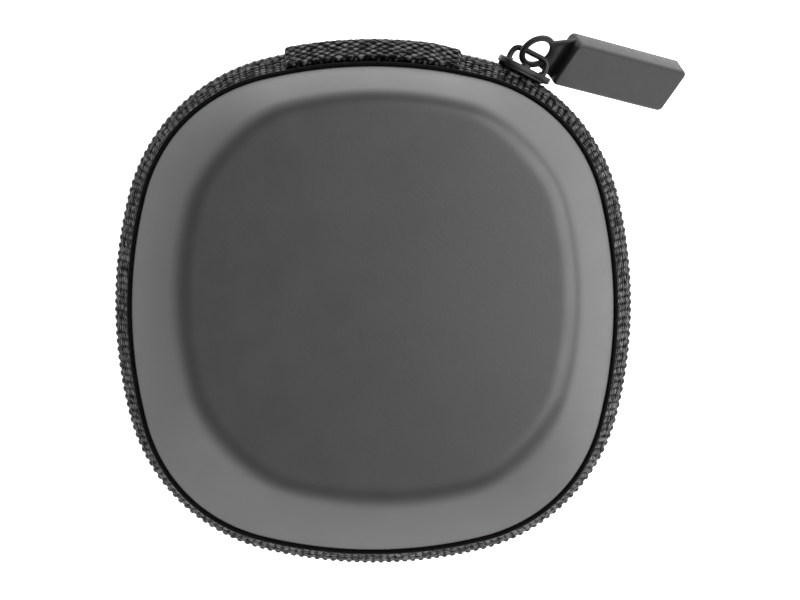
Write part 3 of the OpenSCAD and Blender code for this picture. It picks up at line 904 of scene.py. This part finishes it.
def puller_frame():
    turn = (Matrix.Rotation(math.atan2(OUT[1], OUT[0]), 4, "Z")
            @ Matrix.Rotation(math.radians(13.7 - 90), 4, "Z")
            @ Matrix.Rotation(math.radians(35.5), 4, "Y") @ Matrix.Rotation(math.radians(32), 4, "X"))
    return np.array(turn)[:3, :3]


def at_puller(p):
    """From the eye's own axes (along the tab, across it, off its face) in mm to the row frame."""
    p = np.asarray(p, float) + [EYE_AT[0], EYE_AT[1], 0]
    return BAR + p @ puller_frame().T


def rounded_rect(x0, x1, half, r, n=9):
    return np.vstack([arc(x1 - r, half - r, r, 0, 90, n), arc(x0 + r, half - r, r, 90, 180, n),
                      arc(x0 + r, -half + r, r, 180, 270, n), arc(x1 - r, -half + r, r, 270, 360, n)])


def pull_eye():
    hole, rim = EYE_HOLE - 0.04, EYE_HOLE + EYE_WIRE + 0.16
    half = 3.6
    corner = math.atan2(half, TAB_START - 0.1)
    angles = np.unique(np.concatenate([np.linspace(-math.pi, math.pi, 97)[:-1], [-corner, corner]]))
    neck_x, neck_h = TAB_START - 2.3, 2.55

    def reach(a):
        c, s = math.cos(a), abs(math.sin(a))
        best = rim
        if c > 0:
            side = None  # the neck's flared edge from (neck_x, neck_h) to (TAB_START - .1, half)
            x0, y0, x1, y1 = neck_x - 1.0, neck_h - 0.15, TAB_START - 0.1, half
            d = s * (x1 - x0) - c * (y1 - y0)
            if abs(d) > 1e-9:
                side = (y0 * (x1 - x0) - x0 * (y1 - y0)) / d
            if abs(a) <= corner:
                best = max(best, (TAB_START + 0.3) / c)
            elif side and side > 0 and x0 < side * c <= x1 + 0.01:
                best = max(best, side)
        return best

    rows = []
    for a in angles:
        r0, r1, h, b = hole, reach(a), EYE_T / 2, 0.2
        section = [(r0, -h + b), (r0 + b * 0.3, -h + b * 0.3), (r0 + b, -h), (r1 - b, -h),
                   (r1 - b * 0.3, -h + b * 0.3), (r1, -h + b), (r1, h - b), (r1 - b * 0.3, h - b * 0.3),
                   (r1 - b, h), (r0 + b, h), (r0 + b * 0.3, h - b * 0.3), (r0, h - b)]
        rows.append([(r * math.cos(a), r * math.sin(a), z) for r, z in section])
    verts, faces, _ = grid(np.array(rows), None, None, True, True)
    obj = new_object("puller_eye", at_puller(verts), faces)
    finish_piece(obj, PAINT, "puller", "slider_metal", "pull_eye")


def pull_tab():
    bevel, h, corner = 0.45, TAB_T / 2, 0.95
    turn = np.linspace(0, math.pi / 2, 6)
    side = [(h - bevel * (1 - math.sin(a)), bevel * (1 - math.cos(a))) for a in turn]
    side += [(h, 0.6), (h, 2.0), (h, TAB_W / 2 - 0.2)]
    rows = []
    for z, inset in [(-z, inset) for z, inset in side[::-1]] + side:
        line = rounded_rect(TAB_START + inset, TAB_START + TAB_L - inset, TAB_W / 2 - inset,
                            max(corner - inset, 0.1))
        rows.append(np.column_stack([line, np.full(len(line), z)]))
    points = np.stack(rows, axis=1)
    verts, faces, _ = grid(points, None, None, True, False)
    m, k = points.shape[:2]
    faces += [[i * k for i in range(m)][::-1], [i * k + k - 1 for i in range(m)]]
    obj = new_object("puller_tab", at_puller(verts), faces)
    finish_piece(obj, RUBBER, "puller", "tab_rubber", "pull_tab")


def build():
    for half, side in (("base", -1), ("lid", 1)):
        skin(f"{half}_leatherette", side, half, f"{half}_skin")
        band(f"{half}_gusset", side, half, f"{half}_band")
        welt(f"{half}_piping", side, half, f"{half}_welt")
        tape(f"{half}_tape", side, half, f"{half}_zip_tape")
        coil(f"{half}_teeth", side, half, f"{half}_zip_coil")
        binding(f"{half}_edge_binding", side, half, f"{half}_binding")
        lining(f"{half}_jersey", side, half, f"{half}_lining")
        ends = (90 + HINGE_HALF + 1.5, 450 - HINGE_HALF - 1.5)
        lean = math.hypot(1, LEAN)
        stitches(f"{half}_gusset_stitches", BAND_OUT - 0.95 * LEAN + 0.05, 3.4, (1 / lean, LEAN / lean),
                 side, half, ends=ends)
        stitches(f"{half}_binding_stitches", RIM_OUT - 5.1, 6.9, (-1 / lean, -LEAN / lean), side, half)
        core = bpy.data.objects[f"{half}_core"]
        core.data.materials.clear()
        core.data.materials.append(FOAM)
    foot = 8.7
    out = BAND_OUT - (foot - BAND_LOW) * LEAN + 0.05
    strip = [(out, -foot), ((out + 0.1) / 2 - 0.05, -5.6), (0.0, -2.6), (0.14, 0), (0.0, 2.6),
             ((out + 0.1) / 2 - 0.05, 5.6), (out, foot)]
    hinge_fabric("hinge_webbing", strip, 0.72, HINGE_WEB, "hinge_strip", 1.8, 0.26, 0.17)
    inner = RIM_OUT - 4.3
    wall = [(inner - (6.8 - RIM_LOW) * LEAN, 6.8), (inner + 0.05, 3.6), (inner + 0.1, 0), (inner + 0.05, -3.6),
            (inner - (6.8 - RIM_LOW) * LEAN, -6.8)]
    hinge_fabric("hinge_jersey", wall, 0.6, LINING, "hinge_lining", 0, 0, 0.6)
    net = pocket_net()
    hem = pocket_hem()
    slider()
    pull_eye()
    pull_tab()


# ---- Studio ----
# Radiance of the room by direction: each band of elevation (degrees) has eight levels, at
# azimuths 0, 45, ... 315 degrees from the right towards the back
ROOM = (
    (-30, 16, (3.0, 3.5, 0.8, 3.0, 0.2, 6.0, 2.2, 0.8)),
    (16, 36, (1.8, 2.2, 0.3, 1.5, 0.2, 2.5, 0.6, 0.1)),
    (36, 60, (1.0, 0.8, 0.2, 0.2, 0.1, 0.2, 0.1, 0.1)),
    (60, 120, (1.6, 0.8, 0.2, 0.1, 0.1, 0.1, 0.2, 1.2)),
)
BAND_EDGE = 10.0                # degrees over which one band fades into the next


def sky(tree):
    """World light as soft lobes of direction, like large softboxes round a dark ceiling."""
    nodes, links = tree.nodes, tree.links
    background = next(n for n in nodes if n.type == "BACKGROUND")

    def calc(op, a, b=0.0, c=0.0, clamp=False):
        n = nodes.new("ShaderNodeMath")
        n.operation, n.use_clamp = op, clamp
        for k, v in enumerate((a, b, c)):
            if isinstance(v, (int, float)):
                n.inputs[k].default_value = v
            else:
                links.new(v, n.inputs[k])
        return n.outputs[0]

    coords = nodes.new("ShaderNodeTexCoord")
    split = nodes.new("ShaderNodeSeparateXYZ")
    links.new(coords.outputs["Generated"], split.inputs["Vector"])
    x, y, z = split.outputs
    level = calc("MAXIMUM", calc("SQRT", calc("ADD", calc("MULTIPLY", x, x), calc("MULTIPLY", y, y))), 1e-4)
    elevation = calc("MULTIPLY", calc("ARCSINE", z), 180 / math.pi)
    lobes = []
    for k in range(8):
        a = math.radians(45 * k)
        aim = calc("MULTIPLY_ADD", x, math.cos(a), calc("MULTIPLY", y, math.sin(a)))
        lobe = calc("POWER", calc("MAXIMUM", calc("DIVIDE", aim, level), 0.0), 4.0)
        lobes.append(calc("DIVIDE", lobe, 1.5))         # the eight lobes add up to one
    total = 0.0
    for low, high, levels in ROOM:
        rise = calc("MULTIPLY_ADD", calc("SUBTRACT", elevation, low), 1 / BAND_EDGE, 0.5, True)
        fall = calc("MULTIPLY_ADD", calc("SUBTRACT", high, elevation), 1 / BAND_EDGE, 0.5, True)
        glow = 0.0
        for lobe, value in zip(lobes, levels):
            if value:
                glow = calc("MULTIPLY_ADD", lobe, value, glow)
        total = calc("MULTIPLY_ADD", calc("MULTIPLY", rise, fall), glow, total)
    links.new(total, background.inputs["Strength"])
    background.inputs["Color"].default_value = (1, 1, 1, 1)


def softbox(name, azimuth, elevation, distance, size, power):
    data = bpy.data.lights.new(name, "AREA")
    data.shape, data.size, data.size_y, data.energy = "RECTANGLE", size[0], size[1], power
    obj = bpy.data.objects.new(name, data)
    bpy.context.scene.collection.objects.link(obj)
    a, e = math.radians(azimuth), math.radians(elevation)
    away = Vector((math.cos(e) * math.cos(a), math.cos(e) * math.sin(a), math.sin(e)))
    obj.location = away * distance
    obj.rotation_euler = away.to_track_quat("Z", "Y").to_euler()


def studio():
    scene = bpy.context.scene
    mesh = bpy.data.meshes.new("floor")
    reach = 3.0
    mesh.from_pydata([(-reach, -reach, 0), (reach, -reach, 0), (reach, reach, 0), (-reach, reach, 0)],
                     [], [(0, 1, 2, 3)])
    floor = bpy.data.objects.new("floor", mesh)
    scene.collection.objects.link(floor)
    floor.location.z = -0.00002
    mesh.materials.append(floor_look())

    world = bpy.data.worlds.new("studio")
    scene.world = world
    world.use_nodes = True
    sky(world.node_tree)
    softbox("key_right", 12, 54, 1.2, (1.1, 1.1), 20.0)

    cam_data = bpy.data.cameras.new("camera")
    cam = bpy.data.objects.new("camera", cam_data)
    scene.collection.objects.link(cam)
    cam_data.sensor_width, cam_data.lens = 36, 121.7
    cam_data.clip_start, cam_data.clip_end = 0.01, 10
    distance, tilt = 0.42, math.radians(4)
    target = Vector((4.15 * MM, 0.78 * MM, MID * MM))
    back = Vector((0, math.sin(tilt), math.cos(tilt)))
    right = Vector((0, 1, 0)).cross(back).normalized()
    up = back.cross(right)
    rotation = Matrix((right, up, back)).transposed().to_4x4()
    cam.matrix_world = Matrix.Translation(target + back * distance) @ rotation
    scene.camera = cam
    scene.view_settings.view_transform = "Standard"


build()
studio()
